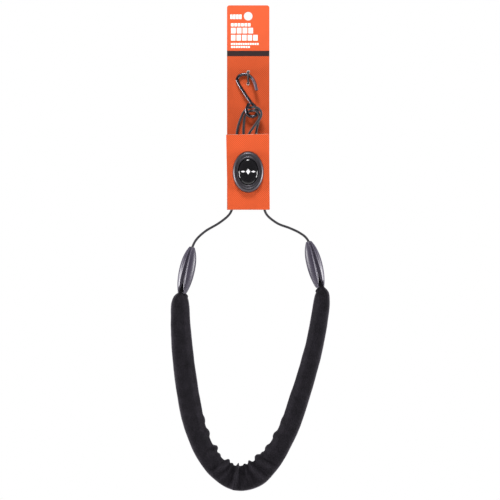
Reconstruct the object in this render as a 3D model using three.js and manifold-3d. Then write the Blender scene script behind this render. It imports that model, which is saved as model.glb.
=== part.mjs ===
// A padded neck strap for a saxophone, hanging on its retail card.
// Millimetres, +Z up. The origin is the centre of the card's hang hole, on the front face
// of the back panel. +X is to the viewer's right, and the front looks along -Y.
import * as THREE from "three";
import { mergeVertices } from "three/addons/utils/BufferGeometryUtils.js";
import Module from "manifold-3d";

const wasm = await Module();
wasm.setup();

// ---- driving dimensions ----
const GAP = 0.3; // air left between pieces that touch on the real object

const CARD_WIDTH = 42.4;
const CARD_TOP = 10.9;
const CARD_BOTTOM = -193.1;
const CARD_CORNER = 2.5;
const BOARD = 0.6; // thickness of the printed board
const HANG_HOLE_RADIUS = 4.3;
const TIE_HOLE_RADIUS = 1.9;
const TIE_UPPER_Z = -55.8;
const TIE_LOWER_Z = -67.4;
const SPINE_DEPTH = 4; // the strip folded forward under the pocket
const SLOT_X = 16.2; // where each cord leaves the pocket
const SLOT_WIDTH = 4.2;

const FLAP_TOP = -118.8;
const FLAP_TILT = 4.2; // degrees that the flap leans forward
const FLAP_SKEW = 1.4; // how far the flap's top edge sits to the left of its crease
const WINDOW_GAP = 0.45;

const SLIDER_Z = -156.2;
const SLIDER_HALF_WIDTH = 15.25;
const SLIDER_HALF_HEIGHT = 20.3;
const OUTER_PORT_X = 8.4;
const INNER_PORT_X = 2.8;
const CORD_PLANE_Y = -3.15; // the cords run through the slider in this plane
const PORT_RADIUS = 1.6;

const CORD_DIAMETER = 2.5;
const WIRE_DIAMETER = 3.1;
const TIE_DIAMETER = 1.8;

const LOOP_Y = -1.6; // the free loop hangs in this plane
const CAP_LENGTH = 46;
const CAP_RADIUS = 8;
const CAP_FLATNESS = 0.84; // the caps are thinner from front to back than they are wide
const PAD_DEPTH = 15;
const COVER_WALL = 0.7;

// ---- routes, as points chosen along each piece's centreline ----
const HOOK_ROUTE = [
  [8.4, -9, -74.2],
  [6.6, -7.9, -68.2],
  [4.6, -5.7, -63.8],
  [2.8, -4, -61.4],
  [0, -2.5, -59],
  [-5, -2.2, -58.4],
  [-9.2, -2.2, -60.2],
  [-11, -2.3, -63.2],
  [-10, -2.6, -66.8],
  [-3.4, -3.8, -77.8],
  [3, -5, -87],
  [7.3, -5.6, -91.6],
  [9.1, -6, -95.8],
  [7.8, -6, -99.6],
  [3.8, -6, -101.1],
  [0, -6.2, -99.5],
  [-1.7, -6.8, -95.8],
  [-1.2, -7.6, -92.1],
  [0.3, -8.2, -89.2],
];

const TIE_ROUTE = [
  [0, 0.7, TIE_UPPER_Z],
  [0, -1.2, TIE_UPPER_Z + 0.3],
  [0, -3.8, -56.3],
  [0, -5.3, -58.6],
  [0, -5.1, -61.6],
  [0, -2.8, -65.4],
  [0, -1, TIE_LOWER_Z],
  [0, 0.7, TIE_LOWER_Z],
];

const LEFT_EYE_ROUTE = [
  [-OUTER_PORT_X, CORD_PLANE_Y, -137.4],
  [-OUTER_PORT_X - 0.4, CORD_PLANE_Y, -132],
  [-11.3, -3, -118.9],
  [-10.2, -2.8, -111],
  [-7.6, -2.5, -103],
  [-4.4, -2.3, -96],
  [-0.6, -2.9, -92.4],
  [3.2, -6.6, -92.1],
  [6.8, -9.6, -91.8],
  [11, -9.4, -94.2],
  [13, -9.8, -98.4],
  [12, -9.5, -102.6],
  [8.9, -8.6, -106.8],
  [4.7, -7.2, -112.4],
  [0.9, -5.6, -118.9],
  [1.8, -4, -130],
  [INNER_PORT_X, CORD_PLANE_Y, -137.4],
];

const RIGHT_EYE_ROUTE = [
  [-INNER_PORT_X, CORD_PLANE_Y, -137.4],
  [-INNER_PORT_X - 0.4, CORD_PLANE_Y, -132],
  [-4.6, -3, -118.9],
  [-4.4, -2.6, -108],
  [-2.9, -2.2, -99.5],
  [0.2, -2.9, -96],
  [4, -6.2, -95.2],
  [7.2, -9.3, -95.4],
  [10.3, -8.6, -98.4],
  [10.9, -5.6, -102.6],
  [10, -3.9, -107],
  [8.6, -3.4, -113],
  [7.8, -3.2, -118.9],
  [OUTER_PORT_X, CORD_PLANE_Y, -130],
  [OUTER_PORT_X, CORD_PLANE_Y, -137.4],
];

// from the slot up through the slider, with side = -1 on the left and 1 on the right
const pocketRoute = (side) => [
  [side * SLOT_X, LOOP_Y, CARD_BOTTOM - 0.6],
  [side * 15.8, -1.7, -189],
  [side * 12.6, -2.1, -183],
  [side * 9.4, -2.8, -178],
  [side * OUTER_PORT_X, CORD_PLANE_Y, -172],
  [side * OUTER_PORT_X, CORD_PLANE_Y, -155],
  [side * OUTER_PORT_X, CORD_PLANE_Y, -137.7],
];

const LEFT_LEAD_ROUTE = [
  [-SLOT_X, LOOP_Y, -194.2],
  [-17.5, LOOP_Y, -196.4],
  [-21.7, LOOP_Y, -199.9],
  [-31.2, LOOP_Y, -207.4],
  [-44.2, LOOP_Y, -215.6],
  [-52.7, LOOP_Y, -223.6],
  [-56.4, LOOP_Y, -230],
  [-57.7, LOOP_Y, -234.6],
  [-58.7, LOOP_Y, -239.4],
];

const RIGHT_LEAD_ROUTE = [
  [SLOT_X, LOOP_Y, -194.2],
  [17.5, LOOP_Y, -196.4],
  [21.4, LOOP_Y, -200.4],
  [31.3, LOOP_Y, -207.3],
  [42, LOOP_Y, -211.6],
  [51, LOOP_Y, -216.2],
  [57.4, LOOP_Y, -220.8],
  [60.3, LOOP_Y, -225.4],
  [61.4, LOOP_Y, -229.6],
  [62.5, LOOP_Y, -233.7],
];

// the pad's centreline and its width there: [x, z, width]
const PAD_STATIONS = [
  [-65.4, -271.5, 5],
  [-66.4, -276.5, 6.4],
  [-67.3, -281, 14],
  [-67.8, -288, 18],
  [-67.7, -303, 19.5],
  [-66.2, -328, 21],
  [-62.9, -358, 22],
  [-58.2, -388, 22.2],
  [-52.4, -412, 21.5],
  [-42.5, -434.5, 21.5],
  [-29.5, -451.5, 22.5],
  [-11.5, -460.3, 25],
  [6.5, -456.8, 25.5],
  [19.5, -446, 23.5],
  [31, -429.5, 21.5],
  [41.3, -409.2, 20.3],
  [48.9, -388, 20],
  [58.5, -358, 18.8],
  [66.3, -328, 17.8],
  [71.2, -302, 17.2],
  [73.6, -284, 15.8],
  [74, -276.5, 13],
  [72.9, -271.5, 6.4],
  [71.4, -266.5, 5],
];

// the axis of each cap, from its cord mouth down to the pad
const CAPS = {
  left: { side: -1, mouth: [-56.9, -230.8], lean: [-9.8, -47] },
  right: { side: 1, mouth: [60.3, -225.2], lean: [12, -47] },
};

// ---- materials ----
const finish = (color, roughness, metalness = 0) =>
  new THREE.MeshStandardMaterial({ color, roughness, metalness });

const COLOURS = {
  orangeBoard: finish(0xe05f35, 0.6),
  cord: finish(0x2a2a30, 0.9),
  tie: finish(0x2c282e, 0.8),
  blackNickel: finish(0x2b292f, 0.25, 0.9),
  gunmetal: finish(0x57545a, 0.3, 0.7),
  blackGloss: finish(0x222024, 0.15),
  blackPlastic: finish(0x2c2a30, 0.5),
  smokeCap: finish(0x4b4853, 0.25),
  padFabric: finish(0x28252b, 0.95),
  foam: finish(0x3a3a3c, 0.95),
  webbing: finish(0x1f1f22, 0.9),
};

// ---- helpers ----
const toVector = ([x, y, z]) => new THREE.Vector3(x, y, z);
const curveThrough = (points) => new THREE.CatmullRomCurve3(points.map(toVector));

// A geometry as a manifold solid, turned right side out
function toSolid(geometry) {
  const bare = geometry.clone();
  bare.deleteAttribute("normal");
  bare.deleteAttribute("uv");
  const merged = mergeVertices(bare, 1e-4);
  const vertProperties = new Float32Array(merged.attributes.position.array);
  const corners = Array.from(merged.index.array);
  const triVerts = [];
  for (let i = 0; i < corners.length; i += 3) {
    const [a, b, c] = corners.slice(i, i + 3);
    if (a !== b && b !== c && c !== a) triVerts.push(a, b, c);
  }
  if (signedVolume(vertProperties, triVerts) < 0) triVerts.reverse();
  const mesh = new wasm.Mesh({
    numProp: 3,
    vertProperties,
    triVerts: new Uint32Array(triVerts),
  });
  return new wasm.Manifold(mesh);
}

function signedVolume(positions, triangles) {
  let sum = 0;
  for (let i = 0; i < triangles.length; i += 3) {
    const [a, b, c] = [0, 1, 2].map((k) => {
      return new THREE.Vector3().fromArray(positions, 3 * triangles[i + k]);
    });
    sum += a.dot(b.cross(c)) / 6;
  }
  return sum;
}

// A solid back as a geometry that a mesh can show
function toGeometry(solid) {
  const mesh = solid.getMesh();
  const geometry = new THREE.BufferGeometry();
  const positions = new Float32Array(mesh.vertProperties);
  geometry.setAttribute("position", new THREE.BufferAttribute(positions, 3));
  geometry.setIndex(Array.from(mesh.triVerts));
  geometry.computeVertexNormals();
  return geometry;
}

function named(name, shape, material) {
  const geometry = shape.isBufferGeometry ? toGeometry(toSolid(shape)) : toGeometry(shape);
  const mesh = new THREE.Mesh(geometry, material);
  mesh.name = name;
  return mesh;
}

// A flat outline drawn in X and Z, extruded from y = front back to y = back
function standingPlate(shape, front, back, curveSegments = 12) {
  const depth = back - front;
  const geometry = new THREE.ExtrudeGeometry(shape, { depth, bevelEnabled: false, curveSegments });
  geometry.rotateX(Math.PI / 2);
  geometry.translate(0, back, 0);
  return geometry;
}

function boxBetween([x0, y0, z0], [x1, y1, z1]) {
  const box = new THREE.BoxGeometry(x1 - x0, y1 - y0, z1 - z0);
  box.translate((x0 + x1) / 2, (y0 + y1) / 2, (z0 + z1) / 2);
  return box;
}

// A round cord or wire along a route, with a step every few diameters
function roundAlong(route, diameter, stepLength, divisions = 4) {
  const path = curveThrough(route);
  const steps = Math.round(path.getLength() / stepLength);
  const section = new THREE.Shape();
  section.absarc(0, 0, diameter / 2, 0, 2 * Math.PI);
  return new THREE.ExtrudeGeometry(section, { steps, extrudePath: path, curveSegments: divisions });
}

// ---- card ----
function backPanel() {
  const half = CARD_WIDTH / 2;
  const outline = new THREE.Shape();
  outline.moveTo(-half, CARD_BOTTOM);
  outline.lineTo(half, CARD_BOTTOM);
  outline.lineTo(half, CARD_TOP - CARD_CORNER);
  outline.absarc(half - CARD_CORNER, CARD_TOP - CARD_CORNER, CARD_CORNER, 0, Math.PI / 2);
  outline.absarc(CARD_CORNER - half, CARD_TOP - CARD_CORNER, CARD_CORNER, Math.PI / 2, Math.PI);
  const holes = [
    [0, HANG_HOLE_RADIUS],
    [TIE_UPPER_Z, TIE_HOLE_RADIUS],
    [TIE_LOWER_Z, TIE_HOLE_RADIUS],
  ];
  for (const [z, radius] of holes) {
    const hole = new THREE.Path();
    hole.absarc(0, z, radius, 0, 2 * Math.PI);
    outline.holes.push(hole);
  }
  const spine = boxBetween([-half, -SPINE_DEPTH, CARD_BOTTOM - BOARD], [half, BOARD, CARD_BOTTOM + 0.01]);
  let panel = toSolid(standingPlate(outline, 0, BOARD)).add(toSolid(spine));
  for (const side of [-1, 1]) {
    const x = side * SLOT_X;
    const slot = boxBetween(
      [x - SLOT_WIDTH / 2, LOOP_Y - CORD_DIAMETER / 2 - 0.35, CARD_BOTTOM - 2],
      [x + SLOT_WIDTH / 2, -0.1, CARD_BOTTOM + 2],
    );
    panel = panel.subtract(toSolid(slot));
  }
  return panel;
}

// Drawn flat above its crease at the origin, then leaned forward and put in place
function frontFlap() {
  const half = CARD_WIDTH / 2;
  const height = FLAP_TOP - CARD_BOTTOM;
  const outline = new THREE.Shape();
  outline.moveTo(-half + FLAP_SKEW / 2, GAP);
  outline.lineTo(half + FLAP_SKEW / 4, GAP);
  outline.lineTo(half - FLAP_SKEW / 4, height + FLAP_SKEW / 4);
  outline.lineTo(-half - FLAP_SKEW / 2, height - FLAP_SKEW / 4);
  const window = new THREE.Path();
  const halfWidth = SLIDER_HALF_WIDTH + WINDOW_GAP;
  const halfHeight = SLIDER_HALF_HEIGHT + WINDOW_GAP;
  window.absellipse(0, SLIDER_Z - CARD_BOTTOM, halfWidth, halfHeight, 0, 2 * Math.PI);
  outline.holes.push(window);
  const flap = standingPlate(outline, 0, BOARD, 20);
  flap.rotateX(THREE.MathUtils.degToRad(FLAP_TILT));
  flap.translate(0, -SPINE_DEPTH - BOARD, CARD_BOTTOM);
  return flap;
}

// A short bar across the back of a hole, which stops the tie from pulling through
function tieBar(z) {
  const bar = new THREE.CylinderGeometry(0.8, 0.8, 8, 10);
  bar.rotateZ(Math.PI / 2);
  bar.translate(0, BOARD + GAP + 0.9, z);
  return bar;
}

// ---- slider ----
// A profile of [share of the oval's half size, y], turned into an oval body
function ovalBody(profile, segments) {
  const points = profile.map(([share, y]) => new THREE.Vector2(share, y));
  const body = new THREE.LatheGeometry(points, segments);
  body.scale(SLIDER_HALF_WIDTH, 1, SLIDER_HALF_HEIGHT);
  body.translate(0, 0, SLIDER_Z);
  return body;
}

function drilledForCords(solid) {
  let drilled = solid;
  for (const x of [-OUTER_PORT_X, -INNER_PORT_X, INNER_PORT_X, OUTER_PORT_X]) {
    const throughBottom = Math.abs(x) === OUTER_PORT_X;
    const length = throughBottom ? 2 * SLIDER_HALF_HEIGHT + 4 : SLIDER_HALF_HEIGHT + 2;
    const port = new THREE.CylinderGeometry(PORT_RADIUS, PORT_RADIUS, length, 12);
    port.rotateX(Math.PI / 2);
    port.translate(x, CORD_PLANE_Y, throughBottom ? SLIDER_Z : SLIDER_Z + length / 2);
    drilled = drilled.subtract(toSolid(port));
  }
  return drilled;
}

function sliderRearShell() {
  const cup = [
    [0, -0.4],
    [0.9, -0.4],
    [0.97, -1.1],
    [1, -2.2],
    [1, -3],
    [0.9, -3],
    [0.88, -1.4],
    [0, -1.4],
  ];
  return drilledForCords(toSolid(ovalBody(cup, 32)));
}

function sliderFrontShell() {
  const bezel = [
    [0, -9],
    [0.655, -9],
    [0.67, -10.6],
    [0.7, -10.9],
    [0.73, -10.6],
    [0.75, -9.9],
    [0.79, -10.7],
    [0.86, -11.1],
    [0.94, -10.5],
    [0.985, -9.2],
    [1, -8],
    [1, -3.3],
    [0.9, -3.3],
    [0.88, -7.6],
    [0, -7.6],
  ];
  return drilledForCords(toSolid(ovalBody(bezel, 32)));
}

function sliderBadge() {
  const dome = [
    [0, -9.3],
    [0.63, -9.3],
    [0.635, -10.2],
    [0.56, -11.2],
    [0.4, -12.1],
    [0.2, -12.6],
    [0, -12.75],
  ];
  return ovalBody(dome, 28);
}

// The plate that presses the cords back, with the post that the inner cord turns round
function sliderCordGuide() {
  const turn = SLIDER_Z + 5;
  const plate = boxBetween([-10.5, -7.3, SLIDER_Z - 11], [10.5, -4.75, SLIDER_Z + 11]);
  const post = new THREE.CylinderGeometry(1.2, 1.2, 3.2, 12);
  post.translate(0, -3.3, turn);
  return toSolid(plate).add(toSolid(post));
}

function turnRoute() {
  const turn = SLIDER_Z + 5;
  const top = -137.7;
  const arc = [180, 225, 270, 315, 360].map((degrees) => {
    const angle = THREE.MathUtils.degToRad(degrees);
    return [INNER_PORT_X * Math.cos(angle), CORD_PLANE_Y, turn + INNER_PORT_X * Math.sin(angle)];
  });
  return [
    [-INNER_PORT_X, CORD_PLANE_Y, top],
    [-INNER_PORT_X, CORD_PLANE_Y, turn + 5],
    ...arc,
    [INNER_PORT_X, CORD_PLANE_Y, turn + 5],
    [INNER_PORT_X, CORD_PLANE_Y, top],
  ];
}

// ---- end caps ----
// A leaf-shaped body about the cap's axis, with its mouth at the origin, pointing down -Z
function leaf(profile) {
  const points = profile.map(([radius, down]) => new THREE.Vector2(radius, -down));
  const body = new THREE.LatheGeometry(points, 20);
  body.rotateX(Math.PI / 2);
  body.scale(1, CAP_FLATNESS, 1);
  return body;
}

// One of the two halves that close round the cord's knot and the pad's neck.
// The slit between the halves widens a little towards the pad.
function capHalf(cap, half) {
  const outside = [
    [0, 0],
    [2.2, 0],
    [4.2, 3.5],
    [6.4, 9],
    [7.7, 16],
    [CAP_RADIUS, 24],
    [7.4, 33],
    [6.1, 40],
    [4.2, CAP_LENGTH],
    [0, CAP_LENGTH],
  ];
  const inside = [
    [0, -1],
    [1.75, -1],
    [1.75, 4.5],
    [4.6, 9.5],
    [6, 16],
    [6.4, 24],
    [5.8, 33],
    [4.7, 40],
    [3.5, CAP_LENGTH + 1],
    [0, CAP_LENGTH + 1],
  ];
  const reach = 12 * half;
  const keep = new THREE.Shape();
  keep.moveTo(0.15 * half, 2);
  keep.lineTo(reach, 2);
  keep.lineTo(reach, -CAP_LENGTH - 2);
  keep.lineTo(0.45 * half, -CAP_LENGTH - 2);
  const solid = toSolid(leaf(outside))
    .subtract(toSolid(leaf(inside)))
    .intersect(toSolid(standingPlate(keep, -12, 12)));
  return placedOnCap(cap, toGeometry(solid));
}

function placedOnCap(cap, geometry) {
  const [dx, dz] = cap.lean;
  geometry.rotateY(Math.atan2(-dx, -dz));
  geometry.translate(cap.mouth[0], LOOP_Y, cap.mouth[1]);
  return geometry;
}

function cordKnot(cap) {
  const knot = new THREE.SphereGeometry(3.1, 12, 8);
  knot.scale(1, 1, 1.15);
  knot.translate(0, 0, -13);
  return placedOnCap(cap, knot);
}

// ---- pad ----
const PAD_STEPS = 40;
const FOAM_START = 6 / PAD_STEPS; // the foam begins where the cover has opened out

// A body that follows the pad's line, made by bending a straight cylinder. width and depth
// give its size where the cover has a given width, trim leaves out that share of the line at
// each end, and overshoot carries its end faces straight on.
function alongPad({ width, depth, trim = 0, overshoot = 0, sides = 16 }) {
  const line = curveThrough(PAD_STATIONS.map(([x, z]) => [x, LOOP_Y, z]));
  const widths = new THREE.SplineCurve(PAD_STATIONS.map(([, , w], i) => new THREE.Vector2(i, w)));
  const steps = Math.round(PAD_STEPS * (1 - 2 * trim));
  const body = new THREE.CylinderGeometry(1, 1, 1, sides, steps);
  const position = body.attributes.position;
  const forward = new THREE.Vector3(0, 1, 0);
  for (let i = 0; i < position.count; i++) {
    const height = position.getY(i);
    const share = THREE.MathUtils.lerp(1 - trim, trim, height + 0.5);
    const cover = widths.getPoint(share).y;
    const along = line.getTangent(share);
    const normal = along.clone().cross(forward);
    const onward = Math.abs(height) > 0.4999 ? -Math.sign(height) * overshoot : 0;
    const across = (squared(position.getX(i)) * width(cover)) / 2;
    const deep = (squared(position.getZ(i)) * depth(cover)) / 2;
    const point = line.getPoint(share).addScaledVector(along, onward);
    point.addScaledVector(normal, across).addScaledVector(forward, deep);
    position.setXYZ(i, point.x, point.y, point.z);
  }
  return body;
}

// Pulls a point of the unit circle out towards a square with round corners
function squared(value) {
  return Math.sign(value) * Math.abs(value) ** 0.8;
}

const coverDepth = (cover) => Math.min(PAD_DEPTH, 0.86 * cover);

function padCover() {
  const wall = 2 * COVER_WALL;
  const outer = alongPad({ width: (w) => w, depth: coverDepth });
  const inner = alongPad({ width: (w) => w - wall, depth: (w) => coverDepth(w) - wall, overshoot: 1 });
  return toSolid(outer).subtract(toSolid(inner));
}

const WEBBING_THICKNESS = 1;
const webbingWidth = (cover) => Math.min(9, 0.55 * cover);

function padFoamCore() {
  const inset = 2 * (COVER_WALL + GAP);
  const outer = alongPad({
    width: (w) => w - inset,
    depth: (w) => coverDepth(w) - inset,
    trim: FOAM_START,
  });
  const tunnel = alongPad({
    width: (w) => webbingWidth(w) + 2 * GAP,
    depth: () => WEBBING_THICKNESS + 2 * GAP,
    trim: FOAM_START,
    overshoot: 1,
    sides: 8,
  });
  return toSolid(outer).subtract(toSolid(tunnel));
}

function padWebbing() {
  return alongPad({ width: webbingWidth, depth: () => WEBBING_THICKNESS, sides: 8 });
}

// ---- assembly ----
const strap = new THREE.Group();

const card = new THREE.Group();
card.add(
  named("card_back_panel", backPanel(), COLOURS.orangeBoard),
  named("card_front_flap", frontFlap(), COLOURS.orangeBoard),
  named("hook_tie", roundAlong(TIE_ROUTE, TIE_DIAMETER, 1.6), COLOURS.tie),
  named("tie_upper_bar", tieBar(TIE_UPPER_Z), COLOURS.tie),
  named("tie_lower_bar", tieBar(TIE_LOWER_Z), COLOURS.tie),
);

const slider = new THREE.Group();
slider.add(
  named("slider_front_shell", sliderFrontShell(), COLOURS.gunmetal),
  named("slider_rear_shell", sliderRearShell(), COLOURS.blackPlastic),
  named("slider_badge", sliderBadge(), COLOURS.blackGloss),
  named("slider_cord_guide", sliderCordGuide(), COLOURS.blackPlastic),
);

const hook = named("wire_hook", roundAlong(HOOK_ROUTE, WIRE_DIAMETER, 2.2, 5), COLOURS.blackNickel);

const cords = new THREE.Group();
const cordRoutes = {
  left_eye_cord: LEFT_EYE_ROUTE,
  right_eye_cord: RIGHT_EYE_ROUTE,
  slider_turn_cord: turnRoute(),
  left_pocket_cord: pocketRoute(-1),
  right_pocket_cord: pocketRoute(1),
  left_lead_cord: LEFT_LEAD_ROUTE,
  right_lead_cord: RIGHT_LEAD_ROUTE,
};
for (const [name, route] of Object.entries(cordRoutes)) {
  const stepLength = name === "slider_turn_cord" ? 1.8 : 3.4;
  cords.add(named(name, roundAlong(route, CORD_DIAMETER, stepLength), COLOURS.cord));
}

const loop = new THREE.Group();
for (const [name, cap] of Object.entries(CAPS)) {
  loop.add(
    named(`${name}_cap_outer_half`, capHalf(cap, cap.side), COLOURS.smokeCap),
    named(`${name}_cap_inner_half`, capHalf(cap, -cap.side), COLOURS.smokeCap),
    named(`${name}_cord_knot`, cordKnot(cap), COLOURS.cord),
  );
}
loop.add(
  named("pad_cover", padCover(), COLOURS.padFabric),
  named("pad_foam_core", padFoamCore(), COLOURS.foam),
  named("pad_webbing", padWebbing(), COLOURS.webbing),
);

strap.add(card, slider, hook, cords, loop);
export default strap;
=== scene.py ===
from functools import partial
import math

import bmesh
import bpy
import numpy as np
from mathutils import Matrix, Vector, noise


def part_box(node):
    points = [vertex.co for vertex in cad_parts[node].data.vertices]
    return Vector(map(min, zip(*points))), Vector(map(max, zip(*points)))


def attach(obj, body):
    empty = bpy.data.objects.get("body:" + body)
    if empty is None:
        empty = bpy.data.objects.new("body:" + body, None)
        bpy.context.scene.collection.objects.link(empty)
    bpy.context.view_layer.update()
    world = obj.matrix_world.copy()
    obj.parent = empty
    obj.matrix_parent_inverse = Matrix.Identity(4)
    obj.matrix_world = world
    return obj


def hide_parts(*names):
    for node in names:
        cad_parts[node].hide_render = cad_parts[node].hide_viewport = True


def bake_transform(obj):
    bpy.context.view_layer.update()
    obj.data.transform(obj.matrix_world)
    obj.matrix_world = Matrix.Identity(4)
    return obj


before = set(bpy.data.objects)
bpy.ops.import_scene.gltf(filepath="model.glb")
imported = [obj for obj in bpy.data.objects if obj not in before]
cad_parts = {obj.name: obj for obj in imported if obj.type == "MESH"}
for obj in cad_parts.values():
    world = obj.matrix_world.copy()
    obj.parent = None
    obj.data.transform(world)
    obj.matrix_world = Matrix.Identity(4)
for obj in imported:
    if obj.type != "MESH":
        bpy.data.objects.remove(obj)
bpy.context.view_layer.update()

MM = 0.001
NEAR = 1e-5  # places closer together than this count as the same


def mm(*values):
    """Millimetres as a vector in metres."""
    return Vector([value * MM for value in values])


# ---- places and sizes taken from the frame ----
_, CARD_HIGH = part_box("card_back_panel")
SLIDER_LOW, SLIDER_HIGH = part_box("slider_front_shell")
SLIDER = (SLIDER_LOW + SLIDER_HIGH) / 2
SLIDER_HALF = (SLIDER_HIGH - SLIDER_LOW) / 2

# ---- sizes of the finished pieces ----
BOARD = 0.6 * MM  # thickness of the card's board
CORD_DIAMETER = 2.5 * MM
TIE_DIAMETER = 1.8 * MM
WIRE_DIAMETER = 3.1 * MM
LOOP_Y = -1.6  # the free loop hangs in this plane, in millimetres like the routes below
CORD_Y = -3.15  # and the cords run through the slider in this one
SLOT_X = 16.2
OUTER_PORT = 8.4
INNER_PORT = 2.8
UPRIGHT = (math.pi / 2, 0, 0)  # turns what lies flat to face the viewer


# ---- camera ----
FIELD = 0.5  # what the view takes in at the card
VIEW_DISTANCE = 1.2
VIEW_CENTRE = mm(1.8, 0, -233.8)
SENSOR = 36


def make_camera():
    place = VIEW_CENTRE + Vector((0, -VIEW_DISTANCE, 0))
    bpy.ops.object.camera_add(location=place, rotation=UPRIGHT)
    camera = bpy.context.object
    camera.data.sensor_width = SENSOR
    camera.data.lens = SENSOR * VIEW_DISTANCE / FIELD
    bpy.context.scene.camera = camera


make_camera()


# ---- curves through given points ----
def length_along(line):
    steps = np.linalg.norm(np.diff(line[:, :3], axis=0), axis=1)
    return np.concatenate([[0], np.cumsum(steps)])


def smooth_line(points, spacing):
    """Points a spacing apart on the smooth curve through the given ones. What a point holds
    after its place is carried along with it."""
    given = np.array(points, float)
    given = np.vstack([2 * given[0] - given[1], given, 2 * given[-1] - given[-2]])
    share = np.linspace(0, 1, 40, endpoint=False)[:, None]
    pieces = []
    for a, b, c, d in zip(given, given[1:], given[2:], given[3:]):
        before, between, after = (
            math.sqrt(np.linalg.norm(q[:3] - p[:3])) for p, q in ((a, b), (b, c), (c, d))
        )
        leave = ((b - a) / before - (c - a) / (before + between)) * between + (c - b)
        arrive = (c - b) - ((d - b) / (between + after) - (d - c) / after) * between
        bend = 3 * (c - b) - 2 * leave - arrive
        settle = 2 * (b - c) + leave + arrive
        pieces.append(b + leave * share + bend * share**2 + settle * share**3)
    line = np.vstack([*pieces, given[-2]])
    along = length_along(line)
    count = max(2, round(along[-1] / spacing) + 1)
    wanted = np.linspace(0, along[-1], count)
    return np.stack([np.interp(wanted, along, column) for column in line.T], axis=1)


def line_frames(line):
    """The direction of a line at each point, and two sideways directions that don't twist."""
    forward = np.gradient(line, axis=0)
    forward /= np.linalg.norm(forward, axis=1)[:, None]
    side = np.zeros_like(forward)
    reference = np.array([0.0, 1.0, 0.0])
    for i, direction in enumerate(forward):
        reference = reference - direction * (reference @ direction)
        reference /= np.linalg.norm(reference)
        side[i] = reference
    return forward, side, np.cross(forward, side)


def mesh_of_rings(name, rings, looped=False):
    """A closed mesh from rings of equally many points, capped at both ends or looped round."""
    count, sides = rings.shape[:2]
    steps = count if looped else count - 1
    ring, side = np.meshgrid(np.arange(steps), np.arange(sides), indexing="ij")
    here, onward = ring * sides, (ring + 1) % count * sides
    after = (side + 1) % sides
    corners = [here + side, here + after, onward + after, onward + side]
    faces = np.stack(corners, axis=-1).reshape(-1, 4).tolist()
    if not looped:
        faces.append(list(range(sides))[::-1])
        faces.append(list(range((count - 1) * sides, count * sides)))
    shape = bpy.data.meshes.new(name)
    shape.from_pydata(rings.reshape(-1, 3).tolist(), [], faces)
    shape.polygons.foreach_set("use_smooth", [True] * len(shape.polygons))
    piece = bpy.data.objects.new(name, shape)
    bpy.context.scene.collection.objects.link(piece)
    outward = bmesh.new()
    outward.from_mesh(shape)
    bmesh.ops.recalc_face_normals(outward, faces=outward.faces)
    outward.to_mesh(shape)
    outward.free()
    return piece


def belongs(piece, body, node, finish=None):
    """The body that a piece moves with, the CAD node that it stands for and finish."""
    if finish:
        piece.data.materials.append(finish)
    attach(piece, body)
    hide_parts(node)


# ---- braided cords ----
CORD_SIDES = 48
CORD_STEP = 0.18  # between rings, in millimetres
CARRIERS = 8  # strands that wind each way round the cord
CORD_RELIEF = 0.13 * MM  # how deep the grooves between the strands are
TIE_RELIEF = 0.08 * MM


def braided_cord(name, route, diameter, relief):
    """A round braid: strands wind both ways at 45 degrees and pass over and under."""
    line = smooth_line(route, CORD_STEP) * MM
    _, side, up = line_frames(line)
    along = length_along(line)[:, None]
    turn = np.arange(CORD_SIDES)[None, :] / CORD_SIDES
    strand = math.pi * diameter / CARRIERS
    one_way = CARRIERS * turn + along / strand
    other_way = CARRIERS * turn - along / strand
    over = (np.floor(one_way) + np.floor(other_way)) % 2 == 0
    across = np.where(over, one_way, other_way)
    onward = np.where(over, other_way, one_way)
    height = np.abs(np.sin(math.pi * across)) * (0.55 + 0.45 * np.abs(np.sin(math.pi * onward)))
    radius = diameter / 2 - relief * (1 - height)
    angle = 2 * math.pi * turn[..., None]
    outwards = side[:, None] * np.cos(angle) + up[:, None] * np.sin(angle)
    rings = line[:, None] + radius[..., None] * outwards
    cord = mesh_of_rings(name, rings)
    # the strand height is kept on the mesh; the yarn's material paints shade with it into the grooves
    # between strands
    strand_height = cord.data.attributes.new("strand", "FLOAT", "POINT")
    strand_height.data.foreach_set("value", height.astype(np.float32).ravel())
    return cord, line


LEFT_EYE_ROUTE = [
    (-OUTER_PORT, CORD_Y, -137.4), (-OUTER_PORT - 0.4, CORD_Y, -132), (-11.3, -3, -118.9),
    (-10.2, -2.8, -111), (-7.6, -2.5, -103), (-4.4, -2.3, -96), (-0.6, -2.9, -92.4),
    (3.2, -6.6, -92.1), (6.8, -9.6, -91.8), (11, -9.4, -94.2), (13, -9.8, -98.4),
    (12, -9.5, -102.6), (8.9, -8.6, -106.8), (4.7, -7.2, -112.4), (0.9, -5.6, -118.9),
    (1.8, -4, -130), (INNER_PORT, CORD_Y, -137.4),
]
RIGHT_EYE_ROUTE = [
    (-INNER_PORT, CORD_Y, -137.4), (-INNER_PORT - 0.4, CORD_Y, -132), (-4.6, -3, -118.9),
    (-4.4, -2.6, -108), (-2.9, -2.2, -99.5), (0.2, -2.9, -96), (4, -6.2, -95.2), (7.2, -9.3, -95.4),
    (10.3, -8.6, -98.4), (10.9, -5.6, -102.6), (10, -3.9, -107), (8.6, -3.4, -113),
    (7.8, -3.2, -118.9), (OUTER_PORT, CORD_Y, -130), (OUTER_PORT, CORD_Y, -137.4),
]
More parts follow.
